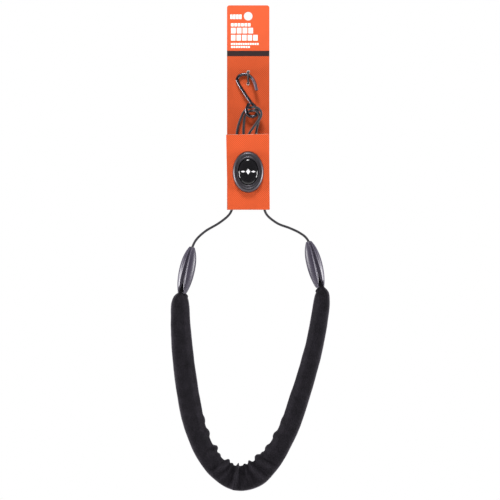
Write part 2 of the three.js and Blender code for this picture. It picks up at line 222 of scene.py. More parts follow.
# each lead hangs in one plane and starts inside its slot, just above the frame's solid
LEFT_LEAD_ROUTE = [(x, LOOP_Y, z) for x, z in (
    (-SLOT_X, -193.1), (-17.6, -196.4), (-20.6, -200.2), (-29.6, -207.2), (-43, -215.2),
    (-51.8, -223.4), (-55.4, -230), (-56.9, -234.6), (-57.9, -239.4),
)]
RIGHT_LEAD_ROUTE = [(x, LOOP_Y, z) for x, z in (
    (SLOT_X, -193.1), (17.4, -196.6), (20.4, -200.6), (29.8, -207.5), (41.4, -211.9),
    (50.6, -216.2), (57.2, -220.9), (60.3, -225.4), (61.4, -229.6), (62.5, -233.7),
)]
TIE_ROUTE = [
    (0, 0.7, -55.8), (0, -1.2, -55.5), (0, -3.8, -56.3), (0, -5.3, -58.6), (0, -5.1, -61.6),
    (0, -2.8, -65.4), (0, -1, -67.4), (0, 0.7, -67.4),
]
TURN_Z = -151.2  # the post inside the slider that the inner cord turns round


def pocket_route(side):
    """From a slot in the card's spine up through the slider."""
    return [
        (side * SLOT_X, LOOP_Y, -192.9),
        (side * 15.8, -1.7, -189),
        (side * 12.6, -2.1, -183),
        (side * 9.4, -2.8, -178),
        (side * OUTER_PORT, CORD_Y, -172),
        (side * OUTER_PORT, CORD_Y, -155),
        (side * OUTER_PORT, CORD_Y, -137.7),
    ]


def turn_route():
    """Down one inner port, round the post and up the other."""
    arc = [math.radians(180 + 45 * step) for step in range(5)]
    bend = [(INNER_PORT * math.cos(a), CORD_Y, TURN_Z + INNER_PORT * math.sin(a)) for a in arc]
    down = [(-INNER_PORT, CORD_Y, z) for z in (-137.7, TURN_Z + 5)]
    back = [(INNER_PORT, CORD_Y, z) for z in (TURN_Z + 5, -137.7)]
    return down + bend + back


def free_cord(name, node, route, onto, bend_start, bend_end):
    """A stretch that is seen. The body at its far end and where it would bend towards it (onto,
    bend_start, bend_end) are not used.
    """
    cord, line = braided_cord(name, route, CORD_DIAMETER, CORD_RELIEF)
    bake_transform(cord)
    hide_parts(node)
    return cord


def make_cords():
    """The strap's cord, in the stretches that the frame has it in, and the hook's tie."""
    eye = "hook", (0, -3, -125), (0, -3, -99)
    lead = "neck_loop", (0, LOOP_Y, -194.5), (0, LOOP_Y, -206)
    cords = [
        free_cord("left_eye_loop", "left_eye_cord", LEFT_EYE_ROUTE, *eye),
        free_cord("right_eye_loop", "right_eye_cord", RIGHT_EYE_ROUTE, *eye),
        free_cord("left_lead", "left_lead_cord", LEFT_LEAD_ROUTE, *lead),
        free_cord("right_lead", "right_lead_cord", RIGHT_LEAD_ROUTE, *lead),
    ]
    left, right, turn = pocket_route(-1), pocket_route(1), turn_route()
    for name, route in (("left_pocket", left), ("right_pocket", right), ("slider_turn", turn)):
        cord, _ = braided_cord(f"{name}_run", route, CORD_DIAMETER, CORD_RELIEF)
        belongs(cord, "card", f"{name}_cord")
        cords.append(cord)
    tie, _ = braided_cord("elastic_hook_tie", TIE_ROUTE, TIE_DIAMETER, TIE_RELIEF)
    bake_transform(tie)
    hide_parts("hook_tie")
    return cords, tie


cords, tie = make_cords()


# ---- hand tools: each one is what a maker does in Blender's own editor ----
def only(piece):
    bpy.ops.object.select_all(action="DESELECT")
    piece.select_set(True)
    bpy.context.view_layer.objects.active = piece


def settle(name):
    """Names what was just added and puts its place into its mesh."""
    piece = bpy.context.object
    piece.name = name
    piece.data.name = name
    only(piece)
    bpy.ops.object.transform_apply(location=True, rotation=True, scale=True)
    return piece


def edit(piece, kind):
    """Opens a piece in edit mode with nothing selected."""
    only(piece)
    bpy.ops.object.mode_set(mode="EDIT")
    bpy.ops.mesh.select_mode(type=kind)
    bpy.ops.mesh.select_all(action="DESELECT")


def done():
    bpy.ops.object.mode_set(mode="OBJECT")


def take_all():
    bpy.ops.mesh.select_all(action="SELECT")


def extrude(*by):
    bpy.ops.mesh.extrude_region_move(TRANSFORM_OT_translate={"value": by})


def pick(piece, test):
    """Selects what passes the test, in the kind that edit() chose, by its middle and normal."""
    shape = bmesh.from_edit_mesh(piece.data)
    kind = next(iter(shape.select_mode))
    items = {"VERT": shape.verts, "EDGE": shape.edges, "FACE": shape.faces}[kind]
    for item in items:
        corners = [item] if kind == "VERT" else item.verts
        middle = sum((corner.co for corner in corners), Vector()) / len(corners)
        item.select_set(bool(test(middle, item)))
    shape.select_flush_mode()
    bmesh.update_edit_mesh(piece.data)


def apply(piece, kind, **settings):
    """Gives a piece a modifier and applies it."""
    only(piece)
    modifier = piece.modifiers.new(kind.title(), kind)
    for setting, value in settings.items():
        setattr(modifier, setting, value)
    bpy.ops.object.modifier_apply(modifier=modifier.name)


def cut(piece, cutter):
    apply(piece, "BOOLEAN", object=cutter, operation="DIFFERENCE", solver="EXACT")
    bpy.data.objects.remove(cutter)


def bevel_where(piece, test, width, segments):
    edit(piece, "EDGE")
    pick(piece, test)
    bpy.ops.mesh.bevel(offset=width, segments=segments)
    done()


def soften_edges(piece, width, segments=2, angle=35):
    apply(
        piece, "BEVEL", width=width, segments=segments, limit_method="ANGLE",
        angle_limit=math.radians(angle), use_clamp_overlap=True,
    )


def shade(piece, angle=30):
    only(piece)
    bpy.ops.object.shade_smooth_by_angle(angle=math.radians(angle))


def box(name, low, high):
    """A box between two corners, as a start for a piece or as a cutter."""
    low, high = Vector(low), Vector(high)
    bpy.ops.mesh.primitive_cube_add(size=1, location=(low + high) / 2, scale=high - low)
    return settle(name)


def rod(name, radius, depth, place, turn=(0, 0, 0), sides=64):
    bpy.ops.mesh.primitive_cylinder_add(
        vertices=sides, radius=radius, depth=depth, location=place, rotation=turn
    )
    return settle(name)


def turned_oval(name, profile):
    """An oval disc the slider's size, pulled forward and back ring by ring. Each ring of the
    profile is its share of that size and its y."""
    share, y = profile[0]
    bpy.ops.mesh.primitive_circle_add(
        vertices=128, radius=1, fill_type="NGON",
        location=(SLIDER.x, y, SLIDER.z), rotation=UPRIGHT,
    )
    bpy.context.object.scale = (SLIDER_HALF.x * share, SLIDER_HALF.z * share, 1)
    piece = settle(name)
    edit(piece, "FACE")
    take_all()
    for new_share, new_y in profile[1:]:
        extrude(0, new_y - y, 0)
        grow = new_share / share
        middle = (SLIDER.x, new_y, SLIDER.z)
        bpy.ops.transform.resize(value=(grow, 1, grow), center_override=middle)
        share, y = new_share, new_y
    take_all()
    bpy.ops.mesh.normals_make_consistent(inside=False)
    done()
    return piece


def eased(points, spacing):
    """A given profile of (share, y in mm), rounded into a curve of many short steps."""
    scale = SLIDER_HALF.x / MM
    line = smooth_line([(share * scale, y, 0) for share, y in points], spacing)
    return [(x / scale, y * MM) for x, y, _ in line]


# ---- the card ----
CARD_CORNER = 2.5 * MM
HANG_HOLE = 4.3 * MM
TIE_HOLE = 1.45 * MM
TIE_HOLES = (-55.8 * MM, -67.4 * MM)
DRILL = 4 * MM  # a cutter's length, which goes right through the board
SPINE = 4 * MM  # how far the folded spine reaches forward
SLOT_HALF = mm(2.1, 1.55, 1.5)
FLAP_CREASE = -193.1 * MM
FLAP_TILT = math.radians(4.2)
FLAP_HEIGHT = 74.3
FLAT_SHEET_ANGLE = 19  # below the turn of a softened rim, so that a flat sheet shades flat


def finish_board(piece, rim, front, back, core):
    """Softens the rims, then prints both faces and the rims, and leaves bare pulp on the cut
    edges and along a top that faces up."""
    soften_edges(piece, rim, angle=40)
    for coat in (front, back, core):
        piece.data.materials.append(coat)
    for face in piece.data.polygons:
        flat = abs(face.normal.y) > 0.6 and face.normal.z < 0.6
        face.material_index = 2 if not flat else (0 if face.normal.y < 0 else 1)
    shade(piece, FLAT_SHEET_ANGLE)


def make_back_panel(front, back, core):
    width = CARD_HIGH.x
    panel = box("card_back", (-width, 0, FLAP_CREASE), (width, BOARD, CARD_HIGH.z))
    top = CARD_HIGH.z - NEAR
    bevel_where(panel, lambda at, e: at.z > top and abs(at.x) > width - NEAR, CARD_CORNER, 10)
    edit(panel, "FACE")
    pick(panel, lambda at, face: face.normal.z < -0.9)
    extrude(0, 0, -BOARD)
    pick(panel, lambda at, face: face.normal.y < -0.9 and at.z < FLAP_CREASE)
    extrude(0, -SPINE, 0)
    done()
    low = FLAP_CREASE - BOARD + NEAR
    bevel_where(panel, lambda at, e: at.z < low and at.y > BOARD - NEAR, 0.5 * MM, 5)
    cut(panel, rod("hang_hole", HANG_HOLE, DRILL, (0, 0, 0), UPRIGHT))
    for z in TIE_HOLES:
        cut(panel, rod("tie_hole", TIE_HOLE, DRILL, (0, 0, z), UPRIGHT, sides=40))
    for side in (-1, 1):
        middle = mm(side * SLOT_X, -1.65, -193.5)
        slot = box("slot", middle - SLOT_HALF, middle + SLOT_HALF)
        bevel_where(slot, lambda at, e: abs(at.z - middle.z) < NEAR, 1 * MM, 6)
        cut(panel, slot)
    finish_board(panel, 0.09 * MM, front, back, core)
    belongs(panel, "card", "card_back_panel")


def make_flap(front, back, core):
    """Drawn upright with its front face on the crease, then leaned forward about it."""
    crease = Vector((0, -SPINE - BOARD, FLAP_CREASE))
    low = crease + mm(-20.85, 0, -0.35)
    flap = box("card_flap", low, crease + mm(21.5, 0.6, FLAP_HEIGHT))
    corners = {  # it was cut a little askew
        (-1, 1): mm(-1.05, 0, -0.35),
        (1, 1): mm(-0.65, 0, 0.35),
        (-1, -1): mm(0.35, 0, 0),
    }
    for (side, top), shift in corners.items():
        edit(flap, "VERT")
        pick(flap, lambda at, v: at.x * side > 0 and (at.z > crease.z + 0.03) == (top > 0))
        bpy.ops.transform.translate(value=shift)
        done()
    bevel_where(flap, lambda at, e: abs(at.x) < 2 * MM and at.z < crease.z, 0.29 * MM, 5)
    window = SLIDER_HALF + mm(0.28, 0, 0.28)
    place = Vector((SLIDER.x, crease.y, SLIDER.z))
    cutter = rod("window", 1, DRILL, place, UPRIGHT, sides=144)
    edit(cutter, "VERT")
    take_all()
    bpy.ops.transform.resize(value=(window.x, 1, window.z), center_override=place)
    done()
    cut(flap, cutter)
    top = FLAP_CREASE + 70 * MM

    def front_of_top(at, edge):
        return at.z > top and at.y < crease.y + NEAR and abs(at.x - 0.3 * MM) < 3 * MM

    bevel_where(flap, front_of_top, 0.2 * MM, 1)
    finish_board(flap, 0.07 * MM, front, back, core)
    lean = Matrix.Translation(crease) @ Matrix.Rotation(FLAP_TILT, 4, "X")
    flap.matrix_world = lean @ Matrix.Translation(-crease)
    only(flap)
    bpy.ops.object.transform_apply(location=True, rotation=True, scale=True)
    belongs(flap, "flap", "card_front_flap")


def make_tie_bars(plastic):
    """Short bars with rounded ends behind the holes, that keep the tie from pulling through."""
    for name, z in zip(("tie_upper_bar", "tie_lower_bar"), TIE_HOLES):
        middle = Vector((0, BOARD + 1.2 * MM, z))
        bar = rod(f"{name}_moulded", 0.8 * MM, 8 * MM, middle, (0, math.pi / 2, 0), sides=32)
        edit(bar, "FACE")
        pick(bar, lambda at, face: abs(face.normal.x) > 0.9)
        bpy.ops.mesh.inset(thickness=0.3 * MM)
        done()
        soften_edges(bar, 0.3 * MM, segments=4, angle=40)
        shade(bar)
        belongs(bar, "card", name, plastic)


# ---- the wire hook ----
HOOK_ROUTE = [
    (8.5, -9.1, -75.3), (6.7, -7.9, -68.4), (4.6, -5.7, -63.8), (2.8, -4, -61.4), (0, -2.5, -59),
    (-5, -2.2, -58.4), (-9.2, -2.2, -60.2), (-11, -2.3, -63.2), (-10, -2.6, -66.8),
    (-3.4, -3.8, -77.8), (3, -5, -87), (7.3, -5.6, -91.6), (9.1, -6, -95.8), (7.8, -6, -99.6),
    (3.8, -6, -101.1), (0, -6.2, -99.5), (-1.7, -6.8, -95.8), (-1.2, -7.6, -92.1), (1.2, -8.4, -88),
]


def make_hook(metal):
    """One length of wire: tip, top bend, straight shank and the closed eye. Its two cut
    ends are broken with a file."""
    line = smooth_line(HOOK_ROUTE, 0.5) * MM
    wire = bpy.data.curves.new("hook_wire", "CURVE")
    wire.dimensions = "3D"
    wire.bevel_depth = WIRE_DIAMETER / 2
    wire.bevel_resolution = 8
    wire.use_fill_caps = True
    run = wire.splines.new("POLY")
    run.points.add(len(line) - 1)
    run.points.foreach_set("co", np.column_stack([line, np.ones(len(line))]).ravel())
    hook = bpy.data.objects.new("hook_wire", wire)
    bpy.context.scene.collection.objects.link(hook)
    only(hook)
    bpy.ops.object.convert(target="MESH")
    hook = bpy.context.object
    hook.name = "bent_wire_hook"
    edit(hook, "EDGE")
    take_all()
    bpy.ops.mesh.remove_doubles(threshold=1e-6)
    bpy.ops.mesh.normals_make_consistent(inside=False)
    bpy.ops.mesh.select_all(action="DESELECT")
    bpy.ops.mesh.edges_select_sharp(sharpness=math.radians(60))
    bpy.ops.mesh.bevel(offset=0.35 * MM, segments=4)
    done()
    shade(hook, 40)
    belongs(hook, "hook", "wire_hook", metal)


# ---- the slider ----
BEZEL = [
    (0.64, -9.0), (0.65, -10.0), (0.665, -10.5), (0.69, -10.8), (0.715, -10.75), (0.745, -10.5),
    (0.785, -10.55), (0.83, -10.85), (0.87, -10.9), (0.92, -10.55), (0.965, -9.75), (0.99, -8.8),
    (1, -7.6), (1, -3.35),
]
BEZEL_INSIDE = [(0.9, -3.35), (0.88, -7.6)]
REAR_CUP = [(0.86, -0.4), (0.93, -0.5), (0.975, -0.95), (0.995, -1.6), (1, -2.2), (1, -2.95)]
REAR_INSIDE = [(0.9, -2.95), (0.88, -1.4)]
DOME = [
    (0.625, -9.35), (0.63, -9.9), (0.618, -10.5), (0.57, -11.2), (0.48, -11.75), (0.36, -12.2),
    (0.22, -12.52), (0.09, -12.68), (0.02, -12.72),
]
PORT_RADIUS = 1.55 * MM


def drill_ports(shell):
    """The four holes that the cord goes through between the slider's two shells."""
    for x in (-OUTER_PORT, -INNER_PORT, INNER_PORT, OUTER_PORT):
        through = abs(x) == OUTER_PORT
        depth = (2 * SLIDER_HALF.z + 4 * MM) if through else (SLIDER_HALF.z + 2 * MM)
        z = SLIDER.z if through else SLIDER.z + depth / 2
        cut(shell, rod("port", PORT_RADIUS, depth, (x * MM, CORD_Y * MM, z), sides=32))


def make_shell(name, profile, spacing, inside):
    """One of the slider's two shells: an oval cup with a wall and the cord's holes."""
    lining = [(share, y * MM) for share, y in inside]
    shell = turned_oval(name, eased(profile, spacing) + lining)
    drill_ports(shell)
    soften_edges(shell, 0.12 * MM, angle=45)
    shade(shell, 40)
    return shell


def make_slider(bezel_finish, badge_finish, plastic):
    bezel = make_shell("slider_bezel", BEZEL, 0.22, BEZEL_INSIDE)
    belongs(bezel, "card", "slider_front_shell", bezel_finish)
    cup = make_shell("slider_back_cup", REAR_CUP, 0.25, REAR_INSIDE)
    belongs(cup, "card", "slider_rear_shell", plastic)
    badge = turned_oval("slider_domed_badge", eased(DOME, 0.2))
    shade(badge, 40)
    belongs(badge, "card", "slider_badge", badge_finish)


# ---- the end caps ----
CAPS = {
    "left": {"side": -1, "mouth": mm(-56, LOOP_Y, -230.8), "lean": (-10.4, -47)},
    "right": {"side": 1, "mouth": mm(60.3, LOOP_Y, -225.2), "lean": (12, -47)},
}
CAP_FLATNESS = 0.84
CAP_WALL = 0.9 * MM
CAP_COLUMNS = 48  # points in a full ring, half of them in each half
CAP_TURN = math.radians(15)  # the channel faces a little outwards
# each ring of the leaf: how far down it is, its radius, and the channel down its front: the
# half width of the opening in its floor, the floor's half width, its depth and its lip's place
CAP_RINGS = [
    (0, 2.6, None),
    (1, 3.2, (0, 0.3, 0.35, 0.7)),
    (3.2, 4.3, (0, 0.4, 0.8, 1.05)),
    (7.5, 6.05, (0, 0.5, 1.2, 1.35)),
    (14, 7.5, (0, 0.6, 1.6, 1.6)),
    (21, 8.0, (0, 0.7, 1.85, 1.8)),
    (28, 7.95, (0, 0.8, 2.0, 2.0)),
    (34, 7.4, (0, 0.9, 2.1, 2.2)),
    (38, 6.8, (0.5, 1.2, 2.1, 2.4)),
    (42, 5.9, (1.5, 1.9, 1.6, 2.8)),
    (45, 5.1, (2.1, 2.4, 0.9, 3.1)),
    (46.8, 4.3, (2.7, 2.9, 0.3, 3.3)),
]
BACK_SEAM = 0.3 * MM  # the halves meet at the back in a shallow seam
# the outer half has a slim rib between the channel and a groove, this deep on each ring
RIB_GROOVE = (0, 0.2, 0.5, 0.75, 0.8, 0.5, 0.15)


def channel_moves(ring, outer):
    """Which points beside the front line move: column, distance to the side and depth."""
    _, radius, channel = CAP_RINGS[ring]
    opening, floor, depth, lip = channel
    moves = [(0, opening, depth), (1, floor, 0.9 * depth), (2, lip, 0.12 * depth)]
    if outer and ring < len(RIB_GROOVE):
        pitch = radius / 10
        groove = RIB_GROOVE[ring]
        for column, sunk in ((3, groove / 3), (4, groove), (5, 0.05)):
            moves.append((column, lip + (column - 2) * pitch, sunk))
    return moves


def make_cap_half(side_name, half_name, plastic):
    """Half of a leaf-shaped shell: a half ring pulled down into a half leaf, its front sunk
    into a channel, smoothed, then given a wall."""
    cap = CAPS[side_name]
    outer = half_name == "outer"
    half = cap["side"] if outer else -cap["side"]
    down, radius, _ = CAP_RINGS[0]
    bpy.ops.mesh.primitive_circle_add(vertices=CAP_COLUMNS, radius=radius * MM, location=(0, 0, 0))
    bpy.context.object.scale = (1, CAP_FLATNESS, 1)
    piece = settle(f"{side_name}_cap_{half_name}_shell")
    edit(piece, "VERT")
    pick(piece, lambda at, v: at.x * half < -NEAR)
    bpy.ops.mesh.delete(type="VERT")
    take_all()
    for new_down, new_radius, _ in CAP_RINGS[1:]:
        extrude(0, 0, (down - new_down) * MM)
        grow = new_radius / radius
        bpy.ops.transform.resize(value=(grow, grow, 1), center_override=(0, 0, -new_down * MM))
        down, radius = new_down, new_radius
    for ring, (down, radius, _) in enumerate(CAP_RINGS[1:], 1):
        for column, across, depth in reversed(channel_moves(ring, outer)):
            angle = 2 * math.pi * column / CAP_COLUMNS
            at = mm(half * radius * math.sin(angle), -CAP_FLATNESS * radius * math.cos(angle), -down)
            front = -CAP_FLATNESS * math.sqrt(radius**2 - across**2)
            to = mm(half * across, front + depth, -down)
            pick(piece, lambda point, v: (point - at).length < NEAR)
            bpy.ops.transform.translate(value=to - at)
    pick(piece, lambda at, v: abs(at.x) < NEAR and at.y > 0)
    bpy.ops.transform.translate(value=(0, -BACK_SEAM, 0))
    take_all()
    bpy.ops.mesh.normals_make_consistent(inside=False)
    done()
    if sum(face.normal.x * half * face.area for face in piece.data.polygons) < 0:
        piece.data.flip_normals()
    apply(piece, "SUBSURF", levels=2, render_levels=2)
    apply(piece, "SOLIDIFY", thickness=CAP_WALL, offset=-1)
    soften_edges(piece, 0.14 * MM, angle=60)
    dx, dz = cap["lean"]
    turn = Matrix.Rotation(math.atan2(-dx, -dz), 4, "Y")
    turn = turn @ Matrix.Rotation(cap["side"] * CAP_TURN, 4, "Z")
    piece.matrix_world = Matrix.Translation(cap["mouth"]) @ turn
    only(piece)
    bpy.ops.object.transform_apply(location=True, rotation=True, scale=True)
    shade(piece, 50)
    belongs(piece, "neck_loop", f"{side_name}_cap_{half_name}_half", plastic)


# ---- the pad ----
# the pad's centreline and the cover's width there, in millimetres
PAD_STATIONS = [
    (-65.4, -271.5, 5), (-66.4, -276.5, 6.4), (-67.3, -281, 14), (-67.8, -288, 18),
    (-67.7, -303, 19.5), (-66.2, -328, 21), (-62.9, -358, 22), (-58.2, -388, 22.2),
    (-52.4, -412, 21.5), (-42.5, -434.5, 21.5), (-29.5, -451.5, 22.5), (-11.5, -460.9, 26),
    (6.5, -457.3, 26.3), (19.5, -446, 23.5), (31, -429.5, 21.5), (41.3, -409.2, 20.3),
    (48.9, -388, 20), (58.5, -358, 18.8), (66.3, -328, 17.8), (71.2, -302, 17.2),
    (73.6, -284, 15.8), (74, -276.5, 13), (72.9, -271.5, 6.4), (71.4, -266.5, 5),
]
PAD_DEPTH = 15
PAD_FLATNESS = 0.86  # where the pad is narrow it is no deeper than this share of its width
COVER_WALL = 0.7
PAD_STEP = 0.62  # between the cover's rings, in millimetres
PAD_SIDES = 120
FOAM_STEP = 1.5
# folds that the bend presses out of the inner edge: where, how high, half width, how far
# they run across the face as a share of the pad, and how far they lean as they cross it
FOLDS = [
    (-43.6, -402.5, 1.0, 3.0, 0.3, 3), (-39, -415, 1.9, 3.2, 0.35, 3),
    (-31.4, -430.6, 3.2, 2.6, 0.5, 3), (-28.7, -438.2, 1.2, 2.0, 0.5, 2),
    (-19.7, -444, 3.4, 2.4, 0.85, -6), (-16.3, -448, 1.7, 2.0, 0.95, -2),
    (-10, -447, 3.4, 2.2, 1.0, 0), (-3.4, -449.5, 1.4, 1.9, 0.95, 2), (1.5, -446, 3.1, 2.7, 1.0, 3),
    (9.4, -441, 3.3, 3.0, 0.95, 2), (13.5, -436.5, 1.2, 2.0, 0.85, 2),
    (18.8, -430.4, 1.6, 2.8, 0.5, 2), (25.8, -417.6, 1.8, 3.1, 0.35, -2),
    (33, -403.5, 0.7, 3.2, 0.2, -2),
]
END_GATHER = 0.34  # how far the small pleats at the ends stand out, in millimetres
LUMPS = 0.32  # and how uneven the stuffing makes the cover
FACE_RIDGE = 0.46  # a fold's height on the face, as a share of its height on the inner edge
# half of the pad's section, from its inner edge over the flat face to its outer edge, as
# shares of the half width and the half depth: the inner shoulder slopes more gently
SECTION = [
    (1, 0), (0.985, 0.25), (0.9, 0.48), (0.7, 0.74), (0.5, 0.93), (0.34, 1.0), (0, 1.0),
    (-0.5, 1.0), (-0.72, 0.94), (-0.89, 0.76), (-0.98, 0.4), (-1, 0),
]


def pad_line(spacing):
    """The pad's centre points, the direction towards the inside of the loop and the width."""
    line = smooth_line([(x, LOOP_Y, z, width) for x, z, width in PAD_STATIONS], spacing)
    centre = line[:, :3] * MM
    onward, _, _ = line_frames(centre)
    inward = np.stack([-onward[:, 2], np.zeros(len(onward)), onward[:, 0]], axis=1)
    return centre, inward, line[:, 3] * MM


def section_outline(sides):
    """Points round the section, evenly spaced and the same in front and behind."""
    line = smooth_line([(10 * u, 10 * v, 0) for u, v in SECTION], 0.1)
    along = length_along(line)
    share = 2 * np.arange(sides) / sides
    share = np.where(share > 1, 2 - share, share) * along[-1]
    u = np.interp(share, along, line[:, 0]) / 10
    v = np.interp(share, along, line[:, 1]) / 10
    return u[None, :], np.where(np.arange(sides) * 2 > sides, -v, v)[None, :]


def pad_rings(spacing, sides, slimmer, relief):
    """Rings of a body along the pad, slimmer than it all round and then raised by a relief."""
    centre, inward, width = pad_line(spacing)
    depth = np.minimum(PAD_DEPTH * MM, PAD_FLATNESS * width)
    turn = 2 * math.pi * np.arange(sides)[None, :] / sides
    across, deep = section_outline(sides)
    half_width = width[:, None] / 2 - slimmer
    half_depth = depth[:, None] / 2 - slimmer
    out_across = across / half_width
    out_deep = deep / half_depth
    size = np.sqrt(out_across**2 + out_deep**2)
    rise = relief(centre, inward, width, turn)
    u = across * half_width + rise * out_across / size
    v = deep * half_depth + rise * out_deep / size
    front = np.array([0, -1, 0])
    return centre[:, None] + inward[:, None] * u[..., None] + front * v[..., None]


def bend_share(along, total):
    """1 where the loop turns round its bottom, 0 in its straighter sides."""
    middle = 0.51 * total
    reach = 0.17 * total
    return np.exp(-(((along - middle) / reach) ** 4))


def cover_relief(centre, inward, width, turn):
    """How far each point of the cover stands out of the plain section."""
    along = length_along(centre)
    total = along[-1]
    q = (1 - np.cos(turn)) / 2  # 0 on the inner edge, 1 on the outer one
    bend = bend_share(along, total)[:, None]
    rise = -1.7 * MM * bend * (1 - q) ** 3
    inner_edge = centre + inward * width[:, None] / 2
    for x, z, height, half_width, reach, lean in FOLDS:
        at = np.array([x * MM, LOOP_Y * MM, z * MM])
        start = along[np.argmin(np.linalg.norm(inner_edge - at, axis=1))]
        place = along[:, None] - start - lean * MM * q
        edge = (1 - q) ** 4
        face = np.clip(1 - (q / reach) ** 3, 0, 1)
        bump = np.exp(-np.abs(place / (1.25 * half_width * MM)) ** 3)
        ridge = np.exp(-((place / (0.42 * half_width * MM)) ** 2))
        rise = rise + height * MM * (edge * bump + FACE_RIDGE * face * (1 - edge) * ridge)
        beside = np.exp(-((np.abs(place) / (half_width * MM) - 1.5) ** 2) / 0.3)
        rise = rise - 0.2 * height * MM * beside * face * (1 - edge)
    near_end = np.minimum(along, total - along)[:, None]
    gather = np.exp(-((near_end / (11 * MM)) ** 2))
    rise = rise + gather * END_GATHER * MM * np.cos(9 * turn + 1.3 * np.sin(3 * turn))
    # a corner of the cover stands up beside the neck on the inner side of each end
    for edge_turn in (turn, turn - 2 * math.pi):
        up = (near_end - 6.6 * MM) / (1.9 * MM)
        rise = rise + 2.1 * MM * np.exp(-(up**2) - (edge_turn / 0.5) ** 2)
    return rise + soft_lumps(along, turn, total)


def soft_lumps(along, turn, total):
    """Slow, shallow unevenness of stuffed fabric, the same on every run."""
    coarse_along = np.linspace(0, total, 240)
    coarse_turn = np.linspace(0, 2 * math.pi, 33)
    field = np.zeros((len(coarse_along), len(coarse_turn)))
    for size, radius, height in ((15 * MM, 1.6, 1), (5.5 * MM, 3.1, 0.4)):
        for i, a in enumerate(coarse_along):
            for j, t in enumerate(coarse_turn):
                at = Vector((a / size, radius * math.cos(t), radius * math.sin(t)))
                field[i, j] += height * noise.noise(at)
    rows = np.stack([np.interp(along, coarse_along, column) for column in field.T], axis=1)
    return LUMPS * MM * np.stack([np.interp(turn[0], coarse_turn, row) for row in rows])


def make_pad(fabric):
    """The sewn cover: an outer skin with its folds, and the inner skin that makes its wall."""
    outer = pad_rings(PAD_STEP, PAD_SIDES, 0.0, cover_relief)
    inner = pad_rings(PAD_STEP, PAD_SIDES, COVER_WALL * MM, cover_relief)
    rings = np.concatenate([outer, inner[::-1]])
    cover = mesh_of_rings("padded_cover", rings, looped=True)
    belongs(cover, "neck_loop", "pad_cover", fabric)


def make_foam(foam_finish):
    """The foam inside, which the bend squeezes slimmer on its inner edge."""

    def squeezed(centre, inward, width, turn):
        along = length_along(centre)
        q = (1 - np.cos(turn)) / 2
        near_end = np.minimum(along, along[-1] - along)[:, None]
        ends = -1.2 * MM * np.exp(-((near_end / (12 * MM)) ** 2))
        return ends - 2.4 * MM * bend_share(along, along[-1])[:, None] * (1 - q) ** 2

    _, _, width = pad_line(FOAM_STEP)
    rings = pad_rings(FOAM_STEP, 48, 1.2 * MM, squeezed)
    wide = np.flatnonzero(width > 12 * MM)  # it stops short of the necks
    foam = mesh_of_rings("pad_foam", rings[wide[0] : wide[-1] + 1])
    belongs(foam, "neck_loop", "pad_foam_core", foam_finish)


# ---- materials ----
def colour(code):
    """An sRGB hex colour as linear red, green, blue and alpha."""
    channels = [int(code[i : i + 2], 16) / 255 for i in (1, 3, 5)]
    linear = [c / 12.92 if c <= 0.04045 else ((c + 0.055) / 1.055) ** 2.4 for c in channels]
    return (*linear, 1)


def add_node(tree, kind, inputs=(), out=0, **settings):
    """Adds a node with its settings, links or fills its inputs, and gives one of its outputs."""
    node = tree.nodes.new(kind)
    for setting, value in settings.items():
        setattr(node, setting, value)
    for key, value in inputs.items() if isinstance(inputs, dict) else enumerate(inputs):
        if isinstance(value, bpy.types.NodeSocket):
            tree.links.new(value, node.inputs[key])
        else:
            node.inputs[key].default_value = value
    return node.outputs[out]


def new_material(name, **sockets):
    """A material with its constant sockets, what adds its nodes, and its patterns' place."""
    made = bpy.data.materials.new(name)
    made.use_nodes = True
    shader = made.node_tree.nodes["Principled BSDF"]
    for socket, value in sockets.items():
        shader.inputs[socket.replace("_", " ")].default_value = value
    add = partial(add_node, made.node_tree)
    return made, add, add("ShaderNodeTexCoord", out="Object")


def finished(made, **patterns):
    """Links each pattern to the socket of that name, and gives the material."""
    shader = made.node_tree.nodes["Principled BSDF"]
    for socket, pattern in patterns.items():
        made.node_tree.links.new(pattern, shader.inputs[socket.replace("_", " ")])
    return made


MATH = "ShaderNodeMath"
NOISE = "ShaderNodeTexNoise"
RANGE = "ShaderNodeMapRange"
MIX = "ShaderNodeMix"
BUMP = "ShaderNodeBump"
RGBA = {"out": 2, "data_type": "RGBA"}
PLUS = {"operation": "ADD"}
TIMES = {"operation": "MULTIPLY"}
WITHIN = {"operation": "COMPARE"}
BELOW = {"operation": "LESS_THAN"}
ABOVE = {"operation": "GREATER_THAN"}

BAND_TOP, BAND_FOOT = -34.6 * MM, -40 * MM  # the dark line under the header
# generic blocks where the header is printed: left, right, low, high, number of blocks
PRINT_ROWS = [
    (-18, -6, -2.9, 1.7, 4), (-17.2, 3, -10.2, -7, 6), (-17.2, 6, -17.2, -11.6, 4),
    (-17.2, 10.6, -24.4, -18.7, 5), (-17.2, 11, -28.7, -26.8, 12), (-17.2, 2.2, -31.7, -29.8, 8),
]


